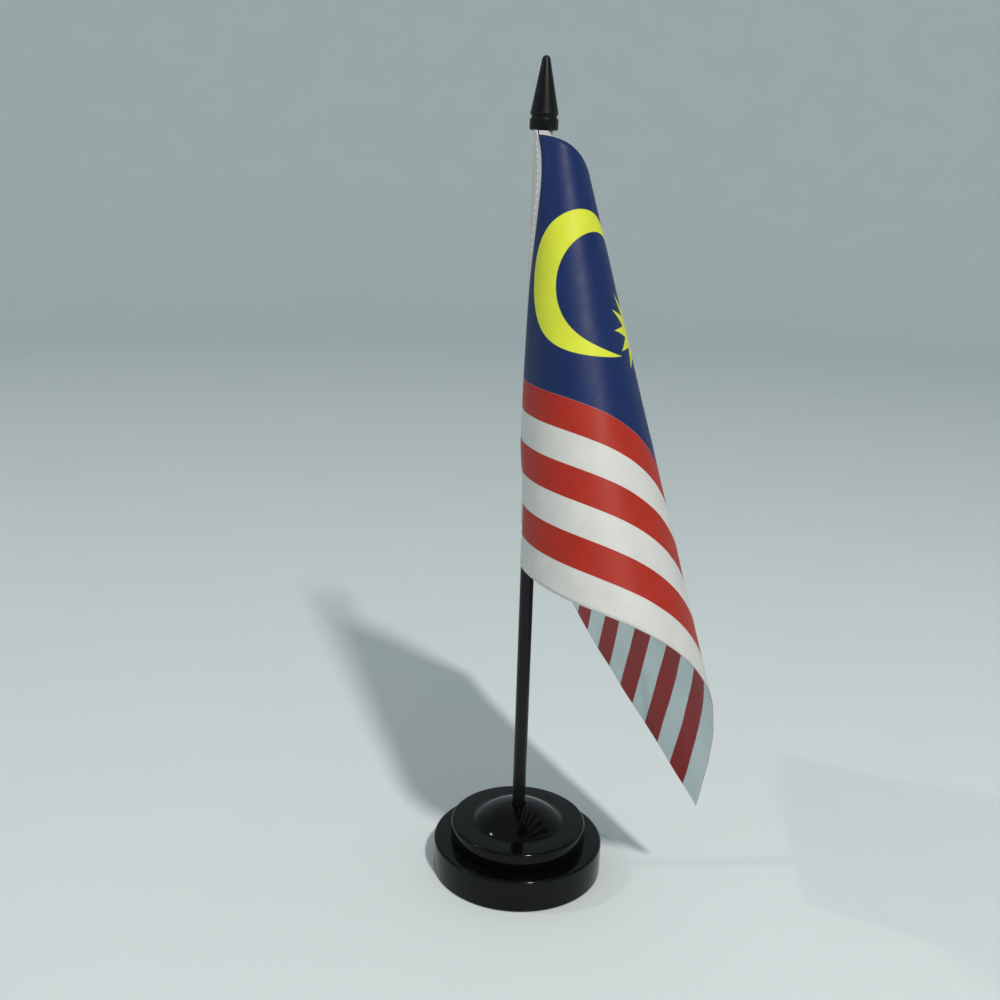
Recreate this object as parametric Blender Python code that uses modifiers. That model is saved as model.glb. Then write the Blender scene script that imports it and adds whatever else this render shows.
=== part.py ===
# Desk flag stand: a weighted two-tier base, a pole in its socket, a finial and a hanging flag.
# Units are metres and +Z is up. The origin is the centre of the pad's underside, and the pole
# stands on the Z axis.

import math

import bmesh
import bpy
from mathutils import Matrix, Vector

# ---- driving dimensions -------------------------------------------------------------------

GAP = 0.0003                # between faces that touch on the real object
WALL = 0.0018               # moulded wall thickness
EDGE_ROUND = 0.0010         # rounding of the two tiers' top edges

PAD_RADIUS = 0.0295
PAD_HEIGHT = 0.0012
RIM_Z = 0.0003              # the rim hangs this far above the surface the pad stands on

LOWER_FOOT_RADIUS = 0.0326
LOWER_TOP_RADIUS = 0.0326
LOWER_TOP_Z = 0.0127
UPPER_RADIUS = 0.0259
UPPER_TOP_Z = 0.0198
UPPER_DRAFT = 0.0002        # the upper wall is this much wider at its foot
DOME_RADIUS = 0.0173
DOME_HEIGHT = 0.0068

COVER_RADIUS = 0.0310
COVER_THICKNESS = 0.0018
BALLAST_RADIUS = 0.0235
BALLAST_BORE_RADIUS = 0.0050
BALLAST_HEIGHT = 0.0055
SPIGOT_RADIUS = 0.0238      # ring of the upper tier that drops into the lower tier
SPIGOT_DEPTH = 0.0026
RIB_COUNT = 4
RIB_THICKNESS = 0.0012

SCREW_COUNT = 3
SCREW_CIRCLE_RADIUS = 0.0277
SCREW_HEAD_RADIUS = 0.0020
SCREW_HEAD_HEIGHT = 0.0011
SCREW_SHANK_RADIUS = 0.0011
SCREW_LENGTH = 0.0080
SCREW_BOSS_RADIUS = 0.0030

POLE_RADIUS = 0.0025
POLE_TOP_Z = 0.2875
SOCKET_WALL = 0.0017

FINIAL_BASE_Z = 0.2764
FINIAL_HEIGHT = 0.0236
COLLAR_RADIUS = 0.0048
COLLAR_HEIGHT = 0.0037
GROOVE_RADIUS = 0.0043
GROOVE_HEIGHT = 0.0013
CONE_RADIUS = 0.0047
TIP_RADIUS = 0.0014

FLAG_TOP_Z = 0.2749
FLAG_HOIST = 0.1345         # height along the pole
FLAG_FLY = 0.2230           # length away from the pole
CLOTH_THICKNESS = 0.0004
SLEEVE_RADIUS = 0.0031      # middle of the cloth where it goes round the pole
SLEEVE_SEAM = 0.0200        # the seam's distance from the hoist edge
SLEEVE_OPENING = 0.35       # angle left free between the sleeve's start and the panel's edge
THREAD_WIDTH = 0.0008
THREAD_THICKNESS = 0.0003

# How the cloth hangs. It bends only, along straight lines that fan out from above the hoist.
# Each pair is a line's flat angle from the hoist, in radians, and a value for that line: how
# far above the hoist it meets the pole, and how hard the cloth turns there, in turns towards -Y.
HOIST_PLACE = (-0.0030, -0.0004)
HEADING = math.radians(-82.7)
FAN_HEIGHT = ((0.0, 0.0414), (0.3, 0.0355), (0.7, 0.0473), (1.5, 0.0107))
BEND = ((0.0, 4.6), (0.15, -1.7), (0.32, -3.4), (0.5, -10.4), (0.75, -2.05), (1.05, -0.1), (1.5, 0.8))

ROUND_STEPS = 48            # facets round the base
SLIM_STEPS = 32             # facets round the pole and the finial
CLOTH_COLUMNS = 56
CLOTH_ROWS = 16

# ---- values that follow from them -----------------------------------------------------------

COVER_Z = PAD_HEIGHT + GAP
COVER_TOP_Z = COVER_Z + COVER_THICKNESS
POLE_FOOT_Z = COVER_TOP_Z + GAP
BORE_RADIUS = POLE_RADIUS + GAP
SOCKET_RADIUS = BORE_RADIUS + SOCKET_WALL
UPPER_FOOT_Z = LOWER_TOP_Z + GAP
SPIGOT_Z = UPPER_FOOT_Z - SPIGOT_DEPTH - GAP


# ---- helpers --------------------------------------------------------------------------------

def clear_scene():
    for item in list(bpy.data.objects):
        bpy.data.objects.remove(item, do_unlink=True)


def make_collection(name):
    collection = bpy.data.collections.new(name)
    bpy.context.scene.collection.children.link(collection)
    return collection


def make_material(name, color, roughness, metallic=0.0):
    material = bpy.data.materials.new(name)
    material.use_nodes = True
    shader = material.node_tree.nodes["Principled BSDF"]
    shader.inputs["Base Color"].default_value = (*color, 1.0)
    shader.inputs["Roughness"].default_value = roughness
    shader.inputs["Metallic"].default_value = metallic
    return material


def make_object(name, mesh, collection, material=None, parent=None, location=(0.0, 0.0, 0.0)):
    item = bpy.data.objects.new(name, mesh)
    item.location = location
    item.parent = parent
    if material:
        mesh.materials.append(material)
    collection.objects.link(item)
    return item


def make_empty(name, parent, height, collection):
    return make_object(name, None, collection, parent=parent, location=(0.0, 0.0, height))


def rounded(corners, steps=3):
    """Turn (radius, z) or (radius, z, rounding) corners into an outline with arcs."""
    outline = []
    count = len(corners)
    for index, corner in enumerate(corners):
        here = Vector(corner[:2])
        rounding = corner[2] if len(corner) > 2 else 0.0
        if not rounding:
            outline.append(here)
            continue
        before = (Vector(corners[index - 1][:2]) - here).normalized()
        after = (Vector(corners[(index + 1) % count][:2]) - here).normalized()
        half = before.angle(after) / 2
        centre = here + (before + after).normalized() * (rounding / math.sin(half))
        start = here + before * (rounding / math.tan(half)) - centre
        end = here + after * (rounding / math.tan(half)) - centre
        turn = start.angle_signed(end)
        for step in range(steps + 1):
            outline.append(centre + Matrix.Rotation(-turn * step / steps, 2) @ start)
    return outline


def arc(centre_z, radius, first_radius, last_radius, steps):
    """Points on a sphere's outline about the Z axis, between two distances from the axis."""
    first = math.asin(first_radius / radius)
    last = math.asin(last_radius / radius)
    angles = [first + (last - first) * step / steps for step in range(steps + 1)]
    return [Vector((radius * math.sin(a), centre_z + radius * math.cos(a))) for a in angles]


def turned(name, outline, steps, collection, material=None, closed=True, **place):
    """Turn an outline about Z. It runs down its outer side; an open one starts and ends on Z."""
    mesh = bpy.data.meshes.new(name)
    points = [(p[0], 0.0, p[1]) for p in outline]
    edges = [(i, i + 1) for i in range(len(points) - 1)]
    if closed:
        edges.append((len(points) - 1, 0))
    mesh.from_pydata(points, edges, [])
    item = make_object(name, mesh, collection, material, **place)
    screw = item.modifiers.new("Turn", "SCREW")
    screw.axis = "Z"
    screw.steps = steps
    screw.render_steps = steps
    screw.use_merge_vertices = True
    screw.merge_threshold = 0.00001
    screw.use_smooth_shade = True
    return item


def make_cutter(item):
    item.hide_render = True
    item.display_type = "WIRE"
    return item


def combine(item, other, operation):
    boolean = item.modifiers.new(other.name, "BOOLEAN")
    boolean.operation = operation
    boolean.solver = "EXACT"
    boolean.object = make_cutter(other)


def round_the_axis(count, radius):
    for index in range(count):
        angle = math.tau * index / count + math.pi / 2
        yield index, (radius * math.cos(angle), radius * math.sin(angle))


# ---- the base -------------------------------------------------------------------------------

def make_pad(parts, material, parent):
    corners = [(0.0, PAD_HEIGHT), (PAD_RADIUS, PAD_HEIGHT, 0.0003), (PAD_RADIUS, 0.0, 0.0002), (0.0, 0.0)]
    turned("non_slip_pad", rounded(corners, 2), ROUND_STEPS, parts, material, closed=False, parent=parent)


def make_cover(parts, cutters, material, parent):
    corners = [(0.0, COVER_TOP_Z), (COVER_RADIUS, COVER_TOP_Z), (COVER_RADIUS, COVER_Z), (0.0, COVER_Z)]
    cover = turned("bottom_cover", corners, ROUND_STEPS, parts, material, closed=False, parent=parent)
    hole = SCREW_SHANK_RADIUS + GAP
    mouth = SCREW_HEAD_RADIUS + GAP
    for index, (x, y) in round_the_axis(SCREW_COUNT, SCREW_CIRCLE_RADIUS):
        outline = [(0.0, COVER_TOP_Z + GAP), (hole, COVER_TOP_Z + GAP),
                   (hole, COVER_Z + SCREW_HEAD_HEIGHT + GAP), (mouth, COVER_Z + GAP),
                   (mouth, COVER_Z - GAP), (0.0, COVER_Z - GAP)]
        cutter = turned(f"cover_hole_{index + 1}", outline, 16, cutters, closed=False, location=(x, y, 0.0))
        combine(cover, cutter, "DIFFERENCE")


def make_screws(parts, cutters, material, parent):
    seat = COVER_Z + 0.0001
    neck = seat + SCREW_HEAD_HEIGHT
    end = seat + SCREW_LENGTH
    outline = [(0.0, end), (SCREW_SHANK_RADIUS * 0.4, end), (SCREW_SHANK_RADIUS, end - 0.0012),
               (SCREW_SHANK_RADIUS, neck), (SCREW_HEAD_RADIUS, seat + 0.0002),
               (SCREW_HEAD_RADIUS, seat), (0.0, seat)]
    for index, (x, y) in round_the_axis(SCREW_COUNT, SCREW_CIRCLE_RADIUS):
        screw = turned(f"cover_screw_{index + 1}", outline, 16, parts, material, closed=False,
                       parent=parent, location=(x, y, 0.0))
        combine(screw, make_cross(f"screw_recess_{index + 1}", cutters, (x, y, seat)), "DIFFERENCE")


def make_cross(name, cutters, place):
    """A cross-shaped block that cuts the driver's recess into a screw head."""
    arm, half, depth = 0.0011, 0.00025, 0.0008
    corners = []
    for quarter in range(4):
        turn = Matrix.Rotation(math.pi / 2 * quarter, 2)
        corners += [turn @ Vector(p) for p in ((arm, -half), (arm, half), (half, half))]
    block = bmesh.new()
    face = block.faces.new([block.verts.new((p.x, p.y, -depth)) for p in corners])
    bmesh.ops.recalc_face_normals(block, faces=[face])
    grown = bmesh.ops.extrude_face_region(block, geom=[face])
    raised = [v for v in grown["geom"] if isinstance(v, bmesh.types.BMVert)]
    bmesh.ops.translate(block, verts=raised, vec=(0.0, 0.0, 2 * depth))
    bmesh.ops.recalc_face_normals(block, faces=block.faces)
    mesh = bpy.data.meshes.new(name)
    block.to_mesh(mesh)
    block.free()
    return make_object(name, mesh, cutters, location=place)


def make_ballast(parts, material, parent):
    low = COVER_TOP_Z + GAP
    high = low + BALLAST_HEIGHT
    chamfer = 0.0004
    outline = [(BALLAST_BORE_RADIUS, high), (BALLAST_RADIUS - chamfer, high),
               (BALLAST_RADIUS, high - chamfer), (BALLAST_RADIUS, low + chamfer),
               (BALLAST_RADIUS - chamfer, low), (BALLAST_BORE_RADIUS, low)]
    turned("ballast_disc", outline, ROUND_STEPS, parts, material, parent=parent)


def make_lower_tier(parts, cutters, material, parent):
    opening = SPIGOT_RADIUS + GAP
    recess = COVER_RADIUS + GAP
    ledge_z = COVER_TOP_Z + GAP / 2
    inside = recess - 0.0009
    roof = LOWER_TOP_Z - WALL
    corners = [(opening, LOWER_TOP_Z), (LOWER_TOP_RADIUS, LOWER_TOP_Z, EDGE_ROUND),
               (LOWER_FOOT_RADIUS, RIM_Z, 0.0004), (recess, RIM_Z), (recess, ledge_z),
               (inside, ledge_z), (inside, roof), (opening, roof)]
    tier = turned("lower_tier", rounded(corners), ROUND_STEPS, parts, material, parent=parent)
    boss_foot = COVER_TOP_Z + GAP
    pilot = SCREW_SHANK_RADIUS + GAP
    for index, (x, y) in round_the_axis(SCREW_COUNT, SCREW_CIRCLE_RADIUS):
        boss_outline = [(0.0, roof + WALL / 2), (SCREW_BOSS_RADIUS, roof + WALL / 2),
                        (SCREW_BOSS_RADIUS, boss_foot), (0.0, boss_foot)]
        boss = turned(f"screw_boss_{index + 1}", boss_outline, 16, cutters, closed=False,
                      location=(x, y, 0.0))
        combine(tier, boss, "UNION")
    for index, (x, y) in round_the_axis(SCREW_COUNT, SCREW_CIRCLE_RADIUS):
        pilot_outline = [(0.0, roof + GAP), (pilot, roof + GAP), (pilot, RIM_Z), (0.0, RIM_Z)]
        hole = turned(f"pilot_hole_{index + 1}", pilot_outline, 16, cutters, closed=False,
                      location=(x, y, 0.0))
        combine(tier, hole, "DIFFERENCE")


def make_upper_tier(parts, cutters, material, parent):
    sphere = (DOME_RADIUS ** 2 + DOME_HEIGHT ** 2) / (2 * DOME_HEIGHT)
    centre_z = UPPER_TOP_Z + DOME_HEIGHT - sphere
    foot_radius = UPPER_RADIUS + UPPER_DRAFT
    inner_spigot = SPIGOT_RADIUS - 0.0017
    inner_wall = UPPER_RADIUS - WALL
    roof = UPPER_TOP_Z - WALL
    socket_end = COVER_TOP_Z + 0.0010
    dome = arc(centre_z, sphere, BORE_RADIUS + 0.0004, DOME_RADIUS - 0.0005, 6)
    under = arc(centre_z, sphere - WALL, DOME_RADIUS - 0.0030, SOCKET_RADIUS, 4)
    dome_edge = [Vector((DOME_RADIUS - 0.0001, UPPER_TOP_Z + 0.00015)),
                 Vector((DOME_RADIUS + 0.0004, UPPER_TOP_Z))]
    mouth = Vector((BORE_RADIUS, dome[0].y - 0.0004))
    walls = rounded([(DOME_RADIUS + 0.002, UPPER_TOP_Z), (UPPER_RADIUS, UPPER_TOP_Z, EDGE_ROUND),
                     (foot_radius, UPPER_FOOT_Z, 0.0003), (SPIGOT_RADIUS, UPPER_FOOT_Z),
                     (SPIGOT_RADIUS, SPIGOT_Z), (inner_spigot, SPIGOT_Z),
                     (inner_spigot, UPPER_FOOT_Z + 0.0010), (inner_wall, UPPER_FOOT_Z + 0.0024),
                     (inner_wall, roof), (DOME_RADIUS - 0.0020, roof)])
    socket = [Vector((SOCKET_RADIUS, socket_end)), Vector((BORE_RADIUS, socket_end))]
    outline = [mouth] + dome + dome_edge + walls[1:] + under + socket
    tier = turned("upper_tier", outline, ROUND_STEPS, parts, material, parent=parent)
    inner_end = SOCKET_RADIUS - SOCKET_WALL / 2
    outer_end = UPPER_RADIUS - WALL / 2
    for index in range(RIB_COUNT):
        rib = make_block(f"rib_{index + 1}", outer_end - inner_end, RIB_THICKNESS, 0.0040, cutters)
        angle = math.tau * (index + 0.5) / RIB_COUNT
        middle = (inner_end + outer_end) / 2
        rib.location = (middle * math.cos(angle), middle * math.sin(angle), roof - 0.0014)
        rib.rotation_euler = (0.0, 0.0, angle)
        combine(tier, rib, "UNION")


def make_block(name, length, width, height, collection):
    block = bmesh.new()
    bmesh.ops.create_cube(block, size=1.0)
    bmesh.ops.scale(block, vec=(length, width, height), verts=block.verts)
    mesh = bpy.data.meshes.new(name)
    block.to_mesh(mesh)
    block.free()
    return make_object(name, mesh, collection)


# ---- the pole and its finial ----------------------------------------------------------------

def make_pole(parts, material, parent):
    length = POLE_TOP_Z - POLE_FOOT_Z
    chamfer = 0.0004
    outline = [(0.0, length), (POLE_RADIUS - chamfer, length), (POLE_RADIUS, length - chamfer),
               (POLE_RADIUS, chamfer), (POLE_RADIUS - chamfer, 0.0), (0.0, 0.0)]
    turned("pole", outline, SLIM_STEPS, parts, material, closed=False, parent=parent)


def make_finial(parts, material, parent):
    groove_top = COLLAR_HEIGHT + GROOVE_HEIGHT
    cone_start = groove_top + 0.0005
    bore_end = POLE_TOP_Z + GAP - FINIAL_BASE_Z
    tip_centre = FINIAL_HEIGHT - TIP_RADIUS
    lean = math.atan2(CONE_RADIUS - TIP_RADIUS, tip_centre - cone_start)
    tip_steps = 4
    tip = []
    for step in range(tip_steps + 1):
        angle = (math.pi / 2 - lean) * step / tip_steps
        tip.append((TIP_RADIUS * math.sin(angle), tip_centre + TIP_RADIUS * math.cos(angle)))
    body = [(CONE_RADIUS, cone_start), (CONE_RADIUS - 0.0001, groove_top),
            (GROOVE_RADIUS, groove_top - 0.0002), (GROOVE_RADIUS, COLLAR_HEIGHT + 0.0002),
            (COLLAR_RADIUS - 0.0002, COLLAR_HEIGHT), (COLLAR_RADIUS, COLLAR_HEIGHT - 0.0003),
            (COLLAR_RADIUS, 0.0009), (COLLAR_RADIUS - 0.0002, 0.0003), (COLLAR_RADIUS - 0.0007, 0.0)]
    bore = [(BORE_RADIUS + 0.0003, 0.0), (BORE_RADIUS, 0.0004), (BORE_RADIUS, bore_end), (0.0, bore_end)]
    turned("finial", tip + body + bore, SLIM_STEPS, parts, material, closed=False, parent=parent,
           location=(0.0, 0.0, FINIAL_BASE_Z - POLE_FOOT_Z))


# ---- the flag -------------------------------------------------------------------------------

def between(pairs, angle):
    """Read a value at an angle from pairs of angle and value, with straight runs between them."""
    for (a, low), (b, high) in zip(pairs, pairs[1:]):
        if angle <= b:
            return low + (high - low) * (angle - a) / (b - a)
    return pairs[-1][1]


def fan_height(angle):
    """How far above the hoist's top the line at an angle meets the hoist, changing by shares."""
    return math.exp(between([(a, math.log(height)) for a, height in FAN_HEIGHT], angle))


def hanging_lines(steps=240):
    """The straight lines of the hanging cloth: flat angle, fan height, start and direction."""
    last = BEND[-1][0]
    step = last / steps
    down = Vector((0.0, 0.0, -1.0))
    side = Vector((math.cos(HEADING), math.sin(HEADING), 0.0))
    height = fan_height(0.0)
    start = Vector((HOIST_PLACE[0], HOIST_PLACE[1], height))
    lines = [(0.0, height, start.copy(), down.copy())]
    for index in range(steps):
        middle = (index + 0.5) * step
        spin = down.cross(side) + between(BEND, middle) * down
        turn = Matrix.Rotation(spin.length * step, 3, spin)
        next_down, next_side = turn @ down, turn @ side
        next_height = fan_height((index + 1) * step)
        along = ((down + next_down) * math.cos(middle) - (side + next_side) * math.sin(middle)) / 2
        start = start - along * (next_height - height)
        down, side, height = next_down.normalized(), next_side.normalized(), next_height
        lines.append(((index + 1) * step, height, start.copy(), down.copy()))
    return lines


def cloth_point(lines, across, below):
    """Where the cloth's point at a distance from the hoist and below the top edge hangs."""
    low, high = 0, len(lines) - 1
    while high - low > 1:
        middle = (low + high) // 2
        angle, height = lines[middle][:2]
        if (below + height) * math.tan(angle) <= across:
            low = middle
        else:
            high = middle
    reach = [(below + lines[i][1]) * math.tan(lines[i][0]) for i in (low, high)]
    share = (across - reach[0]) / (reach[1] - reach[0])
    height = lines[low][1] + (lines[high][1] - lines[low][1]) * share
    start = lines[low][2].lerp(lines[high][2], share)
    down = lines[low][3].lerp(lines[high][3], share).normalized()
    return start + down * math.hypot(across, below + height)


def make_cloth(name, columns, rows, place, thickness, parts, material, parent):
    """A thin closed sheet; place gives a point for two shares from 0 to 1."""
    sheet = bmesh.new()
    bmesh.ops.create_grid(sheet, x_segments=columns, y_segments=rows, size=0.5)
    for vert in sheet.verts:
        vert.co = place(vert.co.x + 0.5, 0.5 - vert.co.y)
    mesh = bpy.data.meshes.new(name)
    sheet.to_mesh(mesh)
    sheet.free()
    item = make_object(name, mesh, parts, material, parent)
    solid = item.modifiers.new("Thickness", "SOLIDIFY")
    solid.thickness = thickness
    solid.offset = 0.0
    solid.use_even_offset = True


def make_flag(parts, cloth, thread, parent):
    lines = hanging_lines()

    def panel(u, v):
        return cloth_point(lines, FLAG_FLY * u, FLAG_HOIST * v)

    def behind(across, below, offset):
        here = cloth_point(lines, across, below)
        forward = cloth_point(lines, across + 0.0005, below) - here
        lower = cloth_point(lines, across, below + 0.0005) - here
        return here + forward.cross(lower).normalized() * offset

    def sleeve(u, v):
        # round the back of the pole, then off it to lie behind the panel at the seam
        below = FLAG_HOIST * v
        first = math.atan2(HOIST_PLACE[1], HOIST_PLACE[0]) % math.tau - SLEEVE_OPENING
        last = math.radians(-20.0)
        wrap = 0.6
        angle = first + (last - first) * min(u / wrap, 1.0)
        around = Vector((math.cos(angle), math.sin(angle), 0.0))
        leave = around * SLEEVE_RADIUS - Vector((0.0, 0.0, below))
        if u <= wrap:
            return leave
        run = (u - wrap) / (1.0 - wrap)
        pull = 0.25 * SLEEVE_SEAM
        seam = behind(SLEEVE_SEAM, below, CLOTH_THICKNESS + 3 * GAP)
        before = behind(SLEEVE_SEAM - pull, below, CLOTH_THICKNESS + 5 * GAP)
        after = leave + Vector((around.y, -around.x, 0.0)) * pull
        near = leave.lerp(after, run).lerp(after.lerp(before, run), run)
        far = after.lerp(before, run).lerp(before.lerp(seam, run), run)
        return near.lerp(far, run)

    def seam_line(u, v):
        across = SLEEVE_SEAM + THREAD_WIDTH * (u - 0.5)
        return behind(across, FLAG_HOIST * v, -(CLOTH_THICKNESS + THREAD_THICKNESS) / 2 - GAP)

    make_cloth("flag_panel", CLOTH_COLUMNS, CLOTH_ROWS, panel, CLOTH_THICKNESS, parts, cloth, parent)
    make_cloth("pole_sleeve", 15, CLOTH_ROWS, sleeve, CLOTH_THICKNESS, parts, cloth, parent)
    make_cloth("sleeve_seam", 1, CLOTH_ROWS, seam_line, THREAD_THICKNESS, parts, thread, parent)


# ---- the whole stand ------------------------------------------------------------------------

def main():
    clear_scene()
    parts = make_collection("desk_flag_stand")
    cutters = make_collection("cutters")

    gloss_black = make_material("gloss_black_abs", (0.012, 0.013, 0.015), 0.12)
    satin_black = make_material("satin_black_pp", (0.015, 0.015, 0.016), 0.38)
    cover_black = make_material("black_pp", (0.03, 0.03, 0.03), 0.55)
    foam = make_material("black_foam", (0.02, 0.02, 0.02), 0.95)
    steel = make_material("zinc_steel", (0.55, 0.56, 0.58), 0.35, 1.0)
    cloth = make_material("printed_polyester", (0.62, 0.12, 0.12), 0.75)
    thread = make_material("white_thread", (0.8, 0.8, 0.78), 0.7)

    stand = make_empty("stand", None, 0.0, parts)
    pole_seat = make_empty("pole_seat", stand, POLE_FOOT_Z, parts)
    flag_pivot = make_empty("flag_pivot", pole_seat, FLAG_TOP_Z - POLE_FOOT_Z, parts)

    make_pad(parts, foam, stand)
    make_cover(parts, cutters, cover_black, stand)
    make_screws(parts, cutters, steel, stand)
    make_ballast(parts, steel, stand)
    make_lower_tier(parts, cutters, gloss_black, stand)
    make_upper_tier(parts, cutters, gloss_black, stand)
    make_pole(parts, satin_black, pole_seat)
    make_finial(parts, satin_black, pole_seat)
    make_flag(parts, cloth, thread, flag_pivot)


main()
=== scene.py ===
# Looks of a desk flag stand: a glossy stepped base, a satin pole with its finial, and a small
# printed cloth flag that hangs from a sleeve. Everything is in metres, in the frame's own axes.

import math

import bpy
import numpy as np
from mathutils import Matrix, Vector, noise


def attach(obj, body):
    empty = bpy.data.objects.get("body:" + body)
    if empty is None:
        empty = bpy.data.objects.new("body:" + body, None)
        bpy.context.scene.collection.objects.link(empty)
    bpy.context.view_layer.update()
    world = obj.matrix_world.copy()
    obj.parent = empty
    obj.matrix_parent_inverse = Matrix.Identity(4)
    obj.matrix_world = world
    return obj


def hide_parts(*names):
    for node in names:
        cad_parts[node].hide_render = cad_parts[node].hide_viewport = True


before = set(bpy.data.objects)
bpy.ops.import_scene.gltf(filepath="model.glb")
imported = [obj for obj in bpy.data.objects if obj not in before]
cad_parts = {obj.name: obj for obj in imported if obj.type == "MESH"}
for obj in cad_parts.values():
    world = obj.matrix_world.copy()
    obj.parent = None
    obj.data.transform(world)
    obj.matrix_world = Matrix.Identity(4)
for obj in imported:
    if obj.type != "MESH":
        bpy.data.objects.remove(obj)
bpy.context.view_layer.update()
print("frame loaded:", len(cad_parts), "nodes")


def linear(code):
    # an sRGB hex value as the linear colour that a shader takes
    shares = [int(code[i:i + 2], 16) / 255 for i in (1, 3, 5)]
    return (*[s / 12.92 if s <= 0.04045 else ((s + 0.055) / 1.055) ** 2.4 for s in shares], 1.0)


def addNode(tree, kind, settings=None, **links):
    # adds a node; settings are its own properties, and each link names an input, or its number
    # after an "n", with the socket to join or the value to set
    node = tree.nodes.new(kind)
    for name, value in (settings or {}).items():
        setattr(node, name, value)
    for name, value in links.items():
        socket = node.inputs[int(name[1:])] if name[1:].isdigit() else node.inputs[name.replace("_", " ")]
        if isinstance(value, bpy.types.NodeSocket):
            tree.links.new(value, socket)
        else:
            socket.default_value = value
    return node


def newMaterial(name, roughness, **sockets):
    # a Principled material, with its plain numbers set on the shader's own sockets
    material = bpy.data.materials.new(name)
    material.use_nodes = True
    tree = material.node_tree
    shader = tree.nodes["Principled BSDF"]
    shader.inputs["Roughness"].default_value = roughness
    for socket, value in sockets.items():
        shader.inputs[socket.replace("_", " ")].default_value = value
    return material, tree, shader


def addPiece(name, points, faces, materials):
    mesh = bpy.data.meshes.new(name)
    mesh.from_pydata([tuple(p) for p in points], [], faces)
    for material in materials:
        mesh.materials.append(material)
    mesh.shade_smooth()
    piece = bpy.data.objects.new(name, mesh)
    bpy.context.scene.collection.objects.link(piece)
    return piece


# Moulded high-gloss ABS: nearly black, with a wet-looking skin that mirrors the room. The mould's
# polish leaves a very slight orange peel, 2 to 3 mm from crest to crest, and handling leaves
# patches that shine a little less.
def glossMouldedAbs():
    material, tree, shader = newMaterial("glossMouldedAbs", 0.09, IOR=1.53, Specular_IOR_Level=0.18)
    place = addNode(tree, "ShaderNodeTexCoord").outputs["Object"]
    smears = addNode(tree, "ShaderNodeTexNoise", {"noise_dimensions": "3D"}, Vector=place,
                     Scale=70.0, Detail=3.0, Roughness=0.6).outputs["Fac"]
    fine = addNode(tree, "ShaderNodeTexNoise", None, Vector=place, Scale=1800.0,
                   Detail=2.0).outputs["Fac"]
    mixed = addNode(tree, "ShaderNodeMath", {"operation": "MULTIPLY"}, n0=smears, n1=fine).outputs[0]
    shine = addNode(tree, "ShaderNodeMapRange", None, Value=mixed, From_Min=0.12, From_Max=0.42,
                    To_Min=0.05, To_Max=0.17).outputs[0]
    tree.links.new(shine, shader.inputs["Roughness"])
    tint = addNode(tree, "ShaderNodeMix", {"data_type": "RGBA"}, n0=smears, n6=linear("#040507"),
                   n7=linear("#080a0c")).outputs[2]
    tree.links.new(tint, shader.inputs["Base Color"])
    peel = addNode(tree, "ShaderNodeTexNoise", None, Vector=place, Scale=420.0,
                   Detail=1.0).outputs["Fac"]
    bump = addNode(tree, "ShaderNodeBump", None, Strength=0.10, Distance=0.00004,
                   Height=peel).outputs["Normal"]
    tree.links.new(bump, shader.inputs["Normal"])
    return material


# Moulded polypropylene with a satin skin: black with a broad soft highlight. The pole is drawn
# out of the mould along its length, which leaves faint lines about 0.4 mm apart; they are drawn
# a little wider than the real ones so that they show.
def satinMouldedPolypropylene():
    material, tree, shader = newMaterial("satinMouldedPolypropylene", 0.34, IOR=1.49,
                                         Specular_IOR_Level=0.3)
    place = addNode(tree, "ShaderNodeTexCoord").outputs["Object"]
    long = addNode(tree, "ShaderNodeMapping", None, Vector=place, Scale=(1.0, 1.0, 0.02)).outputs[0]
    lines = addNode(tree, "ShaderNodeTexNoise", None, Vector=long, Scale=2400.0,
                    Detail=2.0).outputs["Fac"]
    patches = addNode(tree, "ShaderNodeTexNoise", None, Vector=place, Scale=160.0, Detail=4.0,
                      Roughness=0.65).outputs["Fac"]
    shine = addNode(tree, "ShaderNodeMapRange", None, Value=patches, From_Min=0.3, From_Max=0.7,
                    To_Min=0.26, To_Max=0.40).outputs[0]
    tree.links.new(shine, shader.inputs["Roughness"])
    tint = addNode(tree, "ShaderNodeMix", {"data_type": "RGBA"}, n0=patches, n6=linear("#050506"),
                   n7=linear("#0a0b0c")).outputs[2]
    tree.links.new(tint, shader.inputs["Base Color"])
    both = addNode(tree, "ShaderNodeMath", {"operation": "ADD"}, n0=lines, n1=patches).outputs[0]
    bump = addNode(tree, "ShaderNodeBump", None, Strength=0.22, Distance=0.00006,
                   Height=both).outputs["Normal"]
    tree.links.new(bump, shader.inputs["Normal"])
    return material


# What is printed, in millimetres from the fold at the pole and from the top edge. The sleeve's
# part of the cloth is left white.
printed = dict(
    margin=1.2,                 # unprinted cloth beyond the seam
    stripe=9.607,               # fourteen of them
    cantonEnd=122.0,
    cantonStripes=8,
    crescent=(51.1, 38.7, 24.3),    # middle across, middle down, radius
    bite=(58.4, 37.7, 20.5),        # the circle cut out of it
    star=(75.2, 39.6, 15.6),
    starWaist=0.52,             # radius of the notches as a share of the tips'
    starPoints=14,
    bleed=0.12,                 # how far the ink runs at an edge
    weave=0.72,                 # the real threads are about 0.25 mm apart, too fine to show
)


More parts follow.
